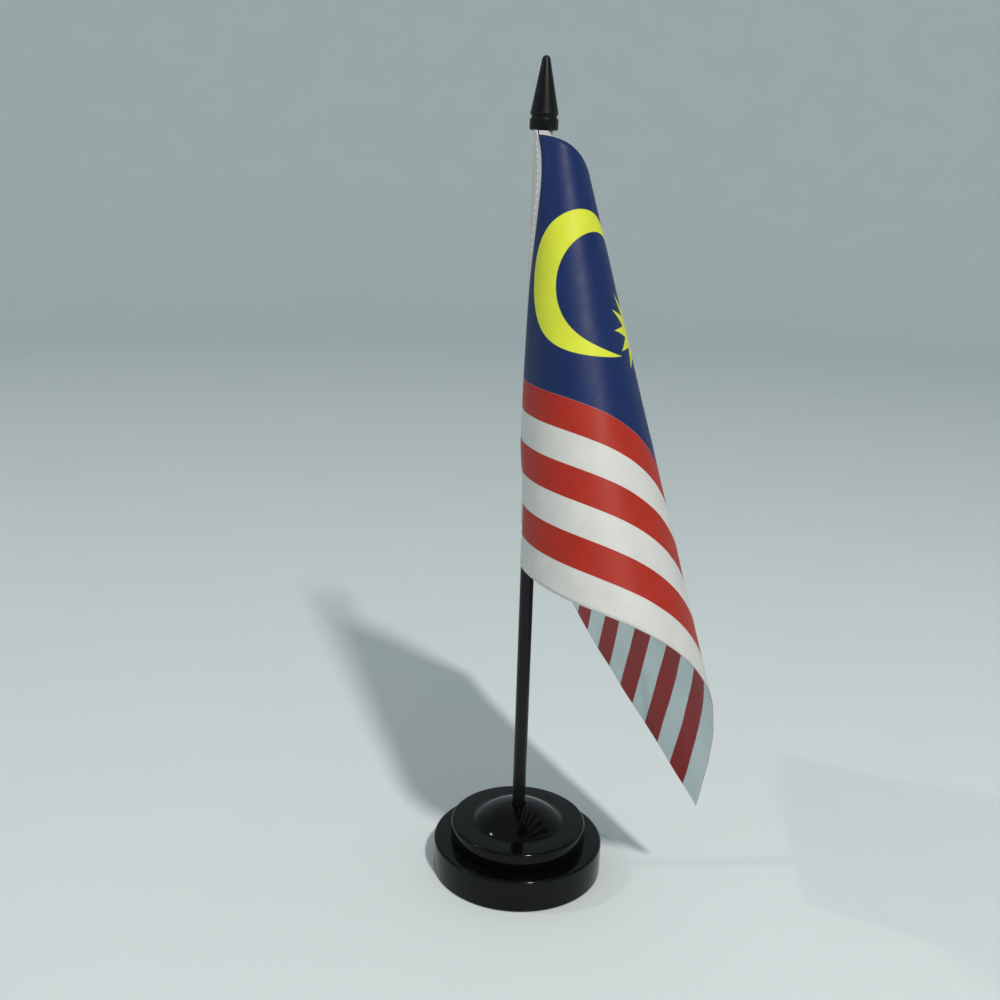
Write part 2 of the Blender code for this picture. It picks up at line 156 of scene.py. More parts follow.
# Woven polyester, dye-sublimation printed: a dry, slightly silky cloth. The ink goes through, so
# the back shows the same print, duller, and its white is tinted cool: a painted bluish cast of
# light on the shaded back. Its loose fibres give a trace of sheen.
def printedPolyester(name, red, white, navy, yellow):
    p = printed
    material, tree, shader = newMaterial(name, 0.6, IOR=1.45, Sheen_Weight=0.02,
                                         Sheen_Roughness=0.4, Specular_IOR_Level=0.35)
    uv = addNode(tree, "ShaderNodeUVMap", {"uv_map": "cloth"}).outputs[0]
    flat = addNode(tree, "ShaderNodeMapping", None, Vector=uv,
                   Scale=(flag["flat"] * 1000, -flag["hoist"] * 1000, 1.0),
                   Location=(-flag["hem"] * 1000, flag["hoist"] * 1000, 0.0)).outputs[0]
    split = addNode(tree, "ShaderNodeSeparateXYZ", None, Vector=flat)
    value = {"across": split.outputs["X"], "below": split.outputs["Y"]}
    for shape in ("crescent", "bite", "star"):
        value["to " + shape] = addNode(tree, "ShaderNodeVectorMath", {"operation": "DISTANCE"}, n0=flat,
                                       n1=(*p[shape][:2], 0.0)).outputs["Value"]
    for grain, scale in (("upright slubs", (1.6, 0.10, 1.0)), ("level slubs", (0.10, 1.6, 1.0)),
                         ("patches", (0.09, 0.09, 1.0))):
        stretched = addNode(tree, "ShaderNodeMapping", None, Vector=flat, Scale=scale).outputs[0]
        value[grain] = addNode(tree, "ShaderNodeTexNoise", None, Vector=stretched, Scale=1.0, Detail=3.0,
                               Roughness=0.55).outputs["Fac"]

    # every shape is a distance in from its edge. The stripes are a zigzag that crosses zero at each
    # edge between two of them, and the star is one slanting edge folded round its middle.
    starX, starY, tip = p["star"]
    half = math.pi / p["starPoints"]
    notch = Vector((math.cos(half), math.sin(half))) * tip * p["starWaist"]
    slant = (notch - Vector((tip, 0.0))).normalized()
    shrink = -1.0 / (flag["drawnOver"] * 1000)
    sums = (
        ("shifted", "SUBTRACT", "below", p["stripe"] / 2),
        ("folded stripes", "PINGPONG", "shifted", p["stripe"]),
        ("white stripe", "SUBTRACT", "folded stripes", p["stripe"] / 2),
        ("short of the canton's end", "SUBTRACT", p["cantonEnd"], "across"),
        ("above its foot", "SUBTRACT", p["cantonStripes"] * p["stripe"], "below"),
        ("canton", "MINIMUM", "short of the canton's end", "above its foot"),
        ("in the round", "SUBTRACT", p["crescent"][2], "to crescent"),
        ("out of the bite", "SUBTRACT", "to bite", p["bite"][2]),
        ("moon", "MINIMUM", "in the round", "out of the bite"),
        ("right of the star", "SUBTRACT", "across", starX),
        ("under the star", "SUBTRACT", "below", starY),
        ("bearing", "ARCTAN2", "right of the star", "under the star"),
        ("turned bearing", "ADD", "bearing", 4 * math.pi),
        ("folded bearing", "PINGPONG", "turned bearing", half),
        ("share along", "COSINE", "folded bearing", 0.0),
        ("share aside", "SINE", "folded bearing", 0.0),
        ("along", "MULTIPLY", "share along", "to star"),
        ("aside", "MULTIPLY", "share aside", "to star"),
        ("short of the tip", "SUBTRACT", tip, "along"),
        ("slant by length", "MULTIPLY", "short of the tip", slant.y),
        ("slant by width", "MULTIPLY", "aside", slant.x),
        ("in the star", "ADD", "slant by length", "slant by width"),
        ("emblem", "MAXIMUM", "moon", "in the star"),
        ("shrunk", "MULTIPLY", "below", shrink),
        ("drawn in", "EXPONENT", "shrunk", 0.0),
        ("drawn in by", "MULTIPLY", "drawn in", flag["seamDrawnIn"] * 1000),
        ("beyond the seam", "ADD", "across", "drawn in by"),
        ("print", "SUBTRACT", "beyond the seam", flag["seam"] * 1000 + p["margin"]),
        # threads: each runs over one and under the next, and their thickness varies on the way
        ("warp turns", "MULTIPLY", "across", math.pi / p["weave"]),
        ("weft turns", "MULTIPLY", "below", math.pi / p["weave"]),
        ("warp", "SINE", "warp turns", 0.0),
        ("weft", "SINE", "weft turns", 0.0),
        ("crossing", "MULTIPLY", "warp", "weft"),
        ("lowered crossing", "MULTIPLY", "crossing", 0.35),
        ("slubs", "ADD", "upright slubs", "level slubs"),
        ("threads", "ADD", "lowered crossing", "slubs"),
        # uneven ink, in soft patches and along the threads
        ("weak slubs", "MULTIPLY", "slubs", 0.2),
        ("weak patches", "MULTIPLY", "patches", 0.6),
        ("uneven", "ADD", "weak slubs", "weak patches"),
    )
    for result, operation, *terms in sums:
        first, second = (value.get(term, term) for term in terms)
        value[result] = addNode(tree, "ShaderNodeMath", {"operation": operation}, n0=first,
                                n1=second).outputs[0]
    for result, distance, soft in (
            ("is white", "white stripe", p["bleed"]), ("is navy", "canton", p["bleed"]),
            ("is yellow", "emblem", p["bleed"]), ("is printed", "print", 0.25)):
        value[result] = addNode(tree, "ShaderNodeMapRange", {"interpolation_type": "SMOOTHSTEP"},
                                Value=value[distance], From_Min=-soft, From_Max=soft).outputs[0]
    value.update({"red": linear(red), "white": linear(white), "navy": linear(navy), "yellow": linear(yellow)})
    for result, amount, under, over in (
            ("stripes", "is white", "red", "white"), ("badge", "is yellow", "navy", "yellow"),
            ("design", "is navy", "stripes", "badge"), ("colour", "is printed", "white", "design")):
        value[result] = addNode(tree, "ShaderNodeMix", {"data_type": "RGBA"}, n0=value[amount],
                                n6=value[under], n7=value[over]).outputs[2]
    for result, low, high in (("ink strength", 0.90, 1.06), ("shine", 0.46, 0.60)):
        value[result] = addNode(tree, "ShaderNodeMapRange", None, Value=value["uneven"], From_Min=0.3,
                                From_Max=0.7, To_Min=low, To_Max=high).outputs[0]
    inked = addNode(tree, "ShaderNodeVectorMath", {"operation": "SCALE"}, n0=value["colour"],
                    Scale=value["ink strength"]).outputs[0]
    bump = addNode(tree, "ShaderNodeBump", None, Strength=0.32, Distance=0.00012,
                   Height=value["threads"]).outputs["Normal"]
    tree.links.new(inked, shader.inputs["Base Color"])
    tree.links.new(value["shine"], shader.inputs["Roughness"])
    tree.links.new(bump, shader.inputs["Normal"])
    return material


# Spun polyester sewing thread: matt and white, with its two plies twisted 0.5 mm apart.
def spunThread():
    material, tree, shader = newMaterial("spunThread", 0.7, IOR=1.45, Sheen_Weight=0.3)
    place = addNode(tree, "ShaderNodeTexCoord").outputs["Object"]
    plies = addNode(tree, "ShaderNodeTexWave", {"bands_direction": "DIAGONAL"}, Vector=place,
                    Scale=640.0, Distortion=1.5, Detail=1.0).outputs["Fac"]
    # the grooves between the plies are coloured darker, where the bump is low: painted shade
    tint = addNode(tree, "ShaderNodeMix", {"data_type": "RGBA"}, n0=plies, n6=linear("#cfcfca"),
                   n7=linear("#eeeeea")).outputs[2]
    tree.links.new(tint, shader.inputs["Base Color"])
    bump = addNode(tree, "ShaderNodeBump", None, Strength=0.4, Distance=0.00005,
                   Height=plies).outputs["Normal"]
    tree.links.new(bump, shader.inputs["Normal"])
    return material


# Closed-cell foam, cut from sheet: matt black, with cut bubbles about 0.5 mm across.
def closedCellFoam():
    material, tree, shader = newMaterial("closedCellFoam", 0.92, IOR=1.45)
    place = addNode(tree, "ShaderNodeTexCoord").outputs["Object"]
    cells = addNode(tree, "ShaderNodeTexVoronoi", None, Vector=place, Scale=1900.0)
    # each cut bubble is coloured darker towards its middle, where the pit is deepest: painted shade
    tint = addNode(tree, "ShaderNodeMix", {"data_type": "RGBA"}, n0=cells.outputs["Distance"],
                   n6=linear("#141414"), n7=linear("#2b2b2a")).outputs[2]
    tree.links.new(tint, shader.inputs["Base Color"])
    bump = addNode(tree, "ShaderNodeBump", None, Strength=0.6, Distance=0.0002,
                   Height=cells.outputs["Distance"]).outputs["Normal"]
    tree.links.new(bump, shader.inputs["Normal"])
    return material


# Moulded polypropylene from a spark-eroded mould: black with an even fine grain, 0.3 mm.
def etchedPolypropylene():
    material, tree, shader = newMaterial("etchedPolypropylene", 0.6, IOR=1.49)
    place = addNode(tree, "ShaderNodeTexCoord").outputs["Object"]
    grain = addNode(tree, "ShaderNodeTexNoise", None, Vector=place, Scale=3300.0,
                    Detail=3.0).outputs["Fac"]
    tint = addNode(tree, "ShaderNodeMix", {"data_type": "RGBA"}, n0=grain, n6=linear("#131416"),
                   n7=linear("#232427")).outputs[2]
    tree.links.new(tint, shader.inputs["Base Color"])
    bump = addNode(tree, "ShaderNodeBump", None, Strength=0.5, Distance=0.00008,
                   Height=grain).outputs["Normal"]
    tree.links.new(bump, shader.inputs["Normal"])
    return material


# Steel, zinc plated in a barrel or left plain from the press: a bright or a dull grey metal,
# cloudy over a few millimetres, with fine scuffs.
def dullSteel(name, dark, light, low, high):
    material, tree, shader = newMaterial(name, 0.3, Metallic=1.0)
    place = addNode(tree, "ShaderNodeTexCoord").outputs["Object"]
    clouds = addNode(tree, "ShaderNodeTexNoise", None, Vector=place, Scale=260.0, Detail=5.0,
                     Roughness=0.6).outputs["Fac"]
    scuffs = addNode(tree, "ShaderNodeTexNoise", None, Scale=1500.0, Detail=3.0,
                     Vector=addNode(tree, "ShaderNodeMapping", None, Vector=place,
                                    Scale=(1.0, 0.06, 1.0)).outputs[0]).outputs["Fac"]
    tint = addNode(tree, "ShaderNodeMix", {"data_type": "RGBA"}, n0=clouds, n6=linear(dark),
                   n7=linear(light)).outputs[2]
    tree.links.new(tint, shader.inputs["Base Color"])
    shine = addNode(tree, "ShaderNodeMapRange", None, Value=clouds, From_Min=0.3, From_Max=0.7,
                    To_Min=low, To_Max=high).outputs[0]
    tree.links.new(shine, shader.inputs["Roughness"])
    bump = addNode(tree, "ShaderNodeBump", None, Strength=0.25, Distance=0.00005,
                   Height=scuffs).outputs["Normal"]
    tree.links.new(bump, shader.inputs["Normal"])
    return material


def rounded(corners, steps=8):
    # (radius, z) or (radius, z, rounding) corners, as an outline with arcs
    outline = []
    for index, corner in enumerate(corners):
        here = Vector(corner[:2])
        rounding = corner[2] if len(corner) > 2 else 0.0
        if not rounding:
            outline.append(here)
            continue
        before = (Vector(corners[index - 1][:2]) - here).normalized()
        after = (Vector(corners[(index + 1) % len(corners)][:2]) - here).normalized()
        half = before.angle(after) / 2
        centre = here + (before + after).normalized() * (rounding / math.sin(half))
        start = here + before * (rounding / math.tan(half)) - centre
        end = here + after * (rounding / math.tan(half)) - centre
        turn = start.angle_signed(end)
        outline += [centre + Matrix.Rotation(-turn * i / steps, 2) @ start for i in range(steps + 1)]
    return outline


def arc(centreZ, radius, first, last, steps):
    # points on a sphere's outline, between two distances from the axis
    low, high = math.asin(first / radius), math.asin(last / radius)
    angles = [low + (high - low) * i / steps for i in range(steps + 1)]
    return [Vector((radius * math.sin(a), centreZ + radius * math.cos(a))) for a in angles]


sharpAngle = math.radians(50)      # edges that turn by more than this are drawn as edges


def turned(name, outline, steps, material, closed=True):
    # an outline turned about Z; it runs down its outer side, and an open one starts and ends on Z
    points, rings = [], []
    for corner in outline:
        if corner[0] < 1e-7:
            rings.append([len(points)] * steps)
            points.append((0.0, 0.0, corner[1]))
            continue
        rings.append(list(range(len(points), len(points) + steps)))
        points += [(corner[0] * math.cos(math.tau * i / steps),
                    corner[0] * math.sin(math.tau * i / steps), corner[1]) for i in range(steps)]
    faces = []
    pairs = list(zip(rings, rings[1:] + rings[:1]))
    for upper, lower in pairs if closed else pairs[:-1]:
        for i in range(steps):
            j = (i + 1) % steps
            face = [upper[i], lower[i], lower[j], upper[j]]
            face = [v for k, v in enumerate(face) if v != face[k - 1]]
            if len(face) > 2:
                faces.append(face)
    piece = addPiece(name, points, faces, [material])
    piece.data.set_sharp_from_angle(angle=sharpAngle)
    return piece


lowerTier = dict(
    rimZ=0.0003, footRadius=0.0326, topRadius=0.0326, topZ=0.0127, edge=0.0010, footEdge=0.0004,
    recess=0.0313, ledgeZ=0.00345, inside=0.0304, roof=0.0109, roofEdge=0.0005, opening=0.0241,
    steps=192,
)


def makeLowerTier(material):
    t = lowerTier
    corners = [(t["opening"], t["topZ"]), (t["topRadius"], t["topZ"], t["edge"]),
               (t["footRadius"], t["rimZ"], t["footEdge"]), (t["recess"], t["rimZ"]),
               (t["recess"], t["ledgeZ"]), (t["inside"], t["ledgeZ"]),
               (t["inside"], t["roof"], t["roofEdge"]), (t["opening"], t["roof"])]
    tier = turned("baseLowerTier", rounded(corners), t["steps"], material)
    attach(tier, "base")
    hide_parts("lower_tier")


upperTier = dict(
    radius=0.0259, footRadius=0.0261, footZ=0.0130, topZ=0.0198, edge=0.0010, wall=0.0018,
    footEdge=0.0003, roofEdge=0.0005, domeRadius=0.0173, domeHeight=0.0068, bore=0.0028,
    boreLip=0.00020, socket=0.0045, socketEnd=0.0043, spigot=0.0238, spigotInside=0.0221,
    spigotZ=0.0101, shoulder=(0.0010, 0.0024), steps=192, domeSteps=24, underSteps=12,
    # where the outlines of the dome's outer and inner skins stop, short of its foot
    domeStop=0.0006, underStop=0.0030, roofStop=0.0020,
    # the softened mouth of the bore: out from its wall and down from the dome, as shares of the lip
    mouth=((0.0, 1.0), (0.12, 0.5), (0.45, 0.13)),
    # the soft corner between the dome and the flat: out from the dome's foot and up from the flat
    fillet=((-0.00028, 0.00020), (0.00005, 0.00007), (0.00045, 0.00001)), flatStart=0.002,
)


def makeUpperTier(material):
    t = upperTier
    sphere = (t["domeRadius"] ** 2 + t["domeHeight"] ** 2) / (2 * t["domeHeight"])
    centreZ = t["topZ"] + t["domeHeight"] - sphere
    innerWall, roof = t["radius"] - t["wall"], t["topZ"] - t["wall"]
    dome = arc(centreZ, sphere, t["bore"] + t["boreLip"], t["domeRadius"] - t["domeStop"],
               t["domeSteps"])
    under = arc(centreZ, sphere - t["wall"], t["domeRadius"] - t["underStop"], t["socket"],
                t["underSteps"])
    lip = [Vector((t["bore"] + t["boreLip"] * out, dome[0].y - t["boreLip"] * down))
           for out, down in t["mouth"]]
    foot = [Vector((t["domeRadius"] + out, t["topZ"] + up)) for out, up in t["fillet"]]
    walls = rounded([(t["domeRadius"] + t["flatStart"], t["topZ"]), (t["radius"], t["topZ"], t["edge"]),
                     (t["footRadius"], t["footZ"], t["footEdge"]), (t["spigot"], t["footZ"]),
                     (t["spigot"], t["spigotZ"]), (t["spigotInside"], t["spigotZ"]),
                     (t["spigotInside"], t["footZ"] + t["shoulder"][0]),
                     (innerWall, t["footZ"] + t["shoulder"][1]),
                     (innerWall, roof, t["roofEdge"]), (t["domeRadius"] - t["roofStop"], roof)])
    socket = [Vector((t["socket"], t["socketEnd"])), Vector((t["bore"], t["socketEnd"]))]
    tier = turned("baseUpperTier", lip + dome + foot + walls + under + socket, t["steps"], material)
    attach(tier, "base")
    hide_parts("upper_tier")


def dressHiddenBase():
    # the parts underneath keep their shape and get their real finish
    finishes = {
        "non_slip_pad": closedCellFoam(),
        "bottom_cover": etchedPolypropylene(),
        "ballast_disc": dullSteel("pressedMildSteel", "#5b5753", "#8d8a86", 0.34, 0.55),
    }
    zinc = dullSteel("zincPlatedSteel", "#a9adb3", "#d3d6da", 0.22, 0.38)
    finishes.update({f"cover_screw_{i}": zinc for i in (1, 2, 3)})
    for node, material in finishes.items():
        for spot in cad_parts[node].material_slots:
            spot.material = material


pole = dict(radius=0.0025, footZ=0.0036, topZ=0.2875, edge=0.0004, steps=96)


def makePole(material):
    p = pole
    corners = [(0.0, p["topZ"]), (p["radius"], p["topZ"], p["edge"]),
               (p["radius"], p["footZ"], p["edge"]), (0.0, p["footZ"])]
    rod = turned("poleRod", rounded(corners, 5), p["steps"], material, closed=False)
    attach(rod, "pole")
    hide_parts("pole")


finial = dict(
    baseZ=0.2764, height=0.0236, collar=0.0048, collarHeight=0.0037, collarEdge=0.0003,
    collarFoot=0.0007, groove=0.0043, grooveHeight=0.0013, grooveEdge=0.0001, grooveSlope=0.0002,
    cone=0.0047, coneLip=0.0005, coneEdge=0.0002, tip=0.0014, tipSteps=12, bore=0.0028,
    boreEnd=0.2879, boreFlare=0.0003, flareHeight=0.0004, steps=128,
)


def makeFinial(material):
    f = finial
    base = f["baseZ"]
    collarTop = base + f["collarHeight"]
    grooveTop = collarTop + f["grooveHeight"]
    coneStart = grooveTop + f["coneLip"]
    tipCentre = base + f["height"] - f["tip"]
    lean = math.atan2(f["cone"] - f["tip"], tipCentre - coneStart)
    tip = []
    for step in range(f["tipSteps"] + 1):
        angle = (math.pi / 2 - lean) * step / f["tipSteps"]
        tip.append(Vector((f["tip"] * math.sin(angle), tipCentre + f["tip"] * math.cos(angle))))
    body = rounded([(f["tip"], tipCentre), (f["cone"], coneStart, f["coneEdge"]),
                    (f["cone"] - f["grooveEdge"], grooveTop, f["coneEdge"]),
                    (f["groove"], grooveTop - f["grooveSlope"], f["grooveEdge"]),
                    (f["groove"], collarTop + f["grooveSlope"], f["grooveEdge"]),
                    (f["collar"], collarTop, f["collarEdge"]), (f["collar"], base, f["collarFoot"]),
                    (f["bore"] + f["boreFlare"], base)], 5)[1:]
    bore = [Vector((f["bore"], base + f["flareHeight"])), Vector((f["bore"], f["boreEnd"])),
            Vector((0.0, f["boreEnd"]))]
    spear = turned("finialSpear", tip + body + bore, f["steps"], material, closed=False)
    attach(spear, "finial")
    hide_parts("finial")


# The cloth bends only along straight lines that fan out from above the hoist, so it keeps its cut
# size. Each pair is a line's flat angle from the hoist, in radians, and a value for that line: how
# far above the hoist it meets the pole, and how hard the cloth turns there.
flag = dict(
    topZ=0.2749, hoist=0.1345, fly=0.2230, thickness=0.00028,
    place=(-0.00285, -0.0004),  # where the hoist stands beside the pole's axis
    heading=math.radians(-82.7),    # which way the cloth sets off from it
    fanHeight=((0.0, 0.0414), (0.3, 0.0355), (0.7, 0.0473), (1.5, 0.0107)),
    bend=((0.0, 4.6), (0.15, -1.7), (0.32, -3.4), (0.5, -10.4), (0.75, -2.05), (1.05, -0.1), (1.5, 0.8),
          (1.53, 0.8)),
    flutter=((0.083, 0.020, 0.9), (0.131, 0.022, 2.1)),     # angle from crest to crest, tilt, start
    sleeve=0.0029,              # radius of the cloth round the pole
    leave=math.radians(-20.0),  # where it comes off the pole's back
    seam=0.0226, seamDrawnIn=0.0104, drawnOver=0.0120,      # the seam runs in towards the pole at the top
    seamGap=0.0008, sleeveRise=0.0014,
    riseEnd=(0.0012, 0.0014),   # how far beyond the seam the rise ends, and over what width it fades
    # how the low part is held in beside the pole: between two drops, and between four reaches
    tuck={"from": 0.097, "to": 0.127, "rise": 0.014, "keep": 0.020, "fall": 0.035, "much": 0.0030},
    columns=264, hemColumns=56, rows=120,
    spread=1.12,                # above 1, the columns are closer together near the pole
    pull=0.25,                  # how far the sleeve's curve is led at its ends, as a share of the seam
    free=0.6,                   # share of the sleeve's columns between the seam and the pole
    nudge=0.0004,               # step over which the cloth's slope is measured
    closing=2.4,                # angle from which the sleeve comes in to the hoist
    crumple={"height": 0.00012, "from": 0.024, "over": 0.020, "broad": (95, 38, 3.7),
             "fine": (210, 120, 9.1), "fineShare": 0.5},
)


def makeRulings(steps=720):
    # the straight lines of the hanging cloth: flat angle, fan height, start and direction
    f = flag
    angles, heights = zip(*f["fanHeight"])
    last = f["bend"][-1][0]
    step = last / steps

    def heightAt(angle):
        return math.exp(float(np.interp(angle, angles, np.log(heights))))

    def flutterAt(angle):
        return min(1.0, angle / 0.25) * sum(much * math.sin(math.tau * angle / long + start)
                                            for long, much, start in f["flutter"])

    def bendAt(angle):
        flutter = (flutterAt(angle + step / 2) - flutterAt(angle - step / 2)) / step
        return float(np.interp(angle, *zip(*f["bend"]))) + flutter

    down = Vector((0.0, 0.0, -1.0))
    side = Vector((math.cos(f["heading"]), math.sin(f["heading"]), 0.0))
    height = heightAt(0.0)
    start = Vector((*f["place"], f["topZ"] + height))
    rows = [(0.0, height, *start, *down)]
    for index in range(steps):
        middle = (index + 0.5) * step
        spin = down.cross(side) + bendAt(middle) * down
        turn = Matrix.Rotation(spin.length * step, 3, spin)
        nextDown, nextSide = turn @ down, turn @ side
        nextHeight = heightAt((index + 1) * step)
        along = ((down + nextDown) * math.cos(middle) - (side + nextSide) * math.sin(middle)) / 2
        start = start - along * (nextHeight - height)
        down, side, height = nextDown.normalized(), nextSide.normalized(), nextHeight
        rows.append(((index + 1) * step, height, *start, *down))
    return np.array(rows)


def eased(share):
    # a share between 0 and 1 that starts and ends gently
    share = np.clip(share, 0.0, 1.0)
    return share * share * (3 - 2 * share)


def hang(rulings, across, below):
    # where the points at these distances from the hoist, all at one height below the top, hang
    reach = (below + rulings[:, 1]) * np.tan(rulings[:, 0])
    index = np.interp(across, reach, np.arange(len(rulings)))
    values = np.array([np.interp(index, np.arange(len(rulings)), column) for column in rulings.T]).T
    down = values[:, 5:8] / np.linalg.norm(values[:, 5:8], axis=1)[:, None]
    places = values[:, 2:5] + down * np.hypot(across, below + values[:, 1])[:, None]
    # low down, the sleeve's belly is held in beside the pole
    t = flag["tuck"]
    low = eased((below - t["from"]) / (t["to"] - t["from"]))
    rise, fall = eased(across / t["rise"]), eased((across - t["keep"]) / t["fall"])
    places[:, 0] += t["much"] * low * rise * (1 - fall)
    return places


def hangOff(rulings, across, below, offset):
    # the same, moved off the cloth towards the pole's side by an offset
    across = np.atleast_1d(across)
    here = hang(rulings, across, below)
    forward = hang(rulings, across + flag["nudge"], below) - here
    lower = hang(rulings, across, below + flag["nudge"]) - here
    normal = np.cross(forward, lower)
    return here + normal / np.linalg.norm(normal, axis=1)[:, None] * offset


def seamAt(below):
    return flag["seam"] - flag["seamDrawnIn"] * math.exp(-below / flag["drawnOver"])


def hemRow(rulings, below, columns):
    # one row of the sleeve, from the seam behind the panel, round the pole's back to the hoist
    f = flag
    pull = f["pull"] * f["seam"]
    line = seamAt(below)
    first = math.atan2(f["place"][1], f["place"][0]) % math.tau
    away = np.array((math.cos(f["leave"]), math.sin(f["leave"]), 0.0))
    leave = away * f["sleeve"] + (0.0, 0.0, f["topZ"] - below)
    seam = hangOff(rulings, line, below, f["seamGap"])[0]
    before = hangOff(rulings, line - pull, below, f["seamGap"] * 1.5)[0]
    after = leave + np.array((away[1], -away[0], 0.0)) * pull
    free = np.linspace(0.0, 1.0, int(columns * f["free"]))[:, None]
    run = (seam * (1 - free) ** 3 + before * 3 * free * (1 - free) ** 2
           + after * 3 * free ** 2 * (1 - free) + leave * free ** 3)
    angles = np.linspace(f["leave"], first, columns - len(free) + 2)[1:-1]
    startRadius = math.hypot(*f["place"])
    closed = np.clip((angles - f["closing"]) / (first - f["closing"]), 0, 1)
    radii = f["sleeve"] + (startRadius - f["sleeve"]) * closed
    wrap = np.stack([radii * np.cos(angles), radii * np.sin(angles),
                     np.full(len(angles), f["topZ"] - below)], axis=1)
    return np.concatenate([run, wrap])


def makeFlag(front, back, rulings):
    f = flag
    drops = np.linspace(0.0, f["hoist"], f["rows"] + 1)
    reaches = f["fly"] * np.linspace(0.0, 1.0, f["columns"] + 1) ** f["spread"]
    grid = np.array([np.concatenate([hemRow(rulings, drop, f["hemColumns"]),
                                     hang(rulings, reaches, drop)]) for drop in drops])

    # the sleeve stands a little higher at the pole than the panel's top edge
    hem = grid[f["rows"] // 2, :f["hemColumns"] + 1]
    lengths = np.concatenate([[0.0], np.cumsum(np.linalg.norm(np.diff(hem, axis=0), axis=1))])
    cut = np.concatenate([lengths[:-1] - f["hem"], reaches])
    beyond, fade = f["riseEnd"]
    inSleeve = eased((seamAt(0.0) + beyond - cut) / fade)
    grid[:, :, 2] += f["sleeveRise"] * inSleeve[None, :] * (1.0 - drops / f["hoist"])[:, None] ** 2

    # slight unevenness of the cloth, off the sleeve
    forward = np.gradient(grid, axis=1)
    lower = np.gradient(grid, axis=0)
    normals = np.cross(forward, lower)
    normals /= np.linalg.norm(normals, axis=2)[:, :, None]
    c = f["crumple"]
    for row, drop in enumerate(drops):
        for column, reach in enumerate(cut):
            if reach > c["from"]:
                broad, fine = (noise.noise(Vector((reach * wide, drop * tall, level)))
                               for wide, tall, level in (c["broad"], c["fine"]))
                swell = broad + fine * c["fineShare"]
                grid[row, column] += normals[row, column] * (
                    swell * c["height"] * min(1.0, (reach - c["from"]) / c["over"]))

    rows, columns = grid.shape[:2]
    faces = [(r * columns + c, (r + 1) * columns + c, (r + 1) * columns + c + 1, r * columns + c + 1)
             for r in range(rows - 1) for c in range(columns - 1)]
    cloth = addPiece("flagCloth", grid.reshape(-1, 3), faces, [front, back])
    layer = cloth.data.uv_layers.new(name="cloth")
    for loop in cloth.data.loops:
        row, column = divmod(loop.vertex_index, columns)
        layer.data[loop.index].uv = ((cut[column] + f["hem"]) / f["flat"], 1.0 - drops[row] / f["hoist"])
    solid = cloth.modifiers.new("thickness", "SOLIDIFY")
    solid.thickness = f["thickness"]
    solid.offset = 0.0
    solid.material_offset = 1
    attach(cloth, "flag")
    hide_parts("flag_panel", "pole_sleeve")
    return cloth


stitching = dict(pitch=0.0023, length=0.0018, thread=0.00016, inset=0.0010, beside=0.0010,
                 linePoints=90)


def stitchRow():
    # a Geometry Nodes group that lays stitches end to end along a line
    tree = bpy.data.node_groups.new("stitchRow", "GeometryNodeTree")
    face = tree.interface
    face.new_socket(name="Geometry", in_out="INPUT", socket_type="NodeSocketGeometry")
    for name in ("Pitch", "Stitch Length", "Thread Radius"):
        face.new_socket(name=name, in_out="INPUT", socket_type="NodeSocketFloat")
    face.new_socket(name="Material", in_out="INPUT", socket_type="NodeSocketMaterial")
    face.new_socket(name="Geometry", in_out="OUTPUT", socket_type="NodeSocketGeometry")
    given = addNode(tree, "NodeGroupInput").outputs
    line = addNode(tree, "GeometryNodeMeshToCurve", None, Mesh=given["Geometry"]).outputs[0]
    spots = addNode(tree, "GeometryNodeResampleCurve", {"mode": "LENGTH"}, Curve=line,
                    Length=given["Pitch"]).outputs[0]
    along = addNode(tree, "GeometryNodeInputTangent").outputs[0]
    turn = addNode(tree, "FunctionNodeAlignRotationToVector", {"axis": "Z"}, Vector=along).outputs[0]
    half = addNode(tree, "ShaderNodeMath", {"operation": "DIVIDE"}, n0=given["Stitch Length"],
                   n1=2.0).outputs[0]
    size = addNode(tree, "ShaderNodeCombineXYZ", None, X=given["Thread Radius"],
                   Y=given["Thread Radius"], Z=half).outputs[0]
    ball = addNode(tree, "GeometryNodeMeshUVSphere", None, Segments=8, Rings=6, Radius=1.0).outputs[0]
    stitch = addNode(tree, "GeometryNodeTransform", None, Geometry=ball, Scale=size).outputs[0]
    smooth = addNode(tree, "GeometryNodeSetShadeSmooth", None, Geometry=stitch).outputs[0]
    laid = addNode(tree, "GeometryNodeInstanceOnPoints", None, Points=spots, Instance=smooth,
                   Rotation=turn).outputs[0]
    real = addNode(tree, "GeometryNodeRealizeInstances", None, Geometry=laid).outputs[0]
    done = addNode(tree, "GeometryNodeSetMaterial", None, Geometry=real,
                   Material=given["Material"]).outputs[0]
    addNode(tree, "NodeGroupOutput", None, Geometry=done)
    return tree


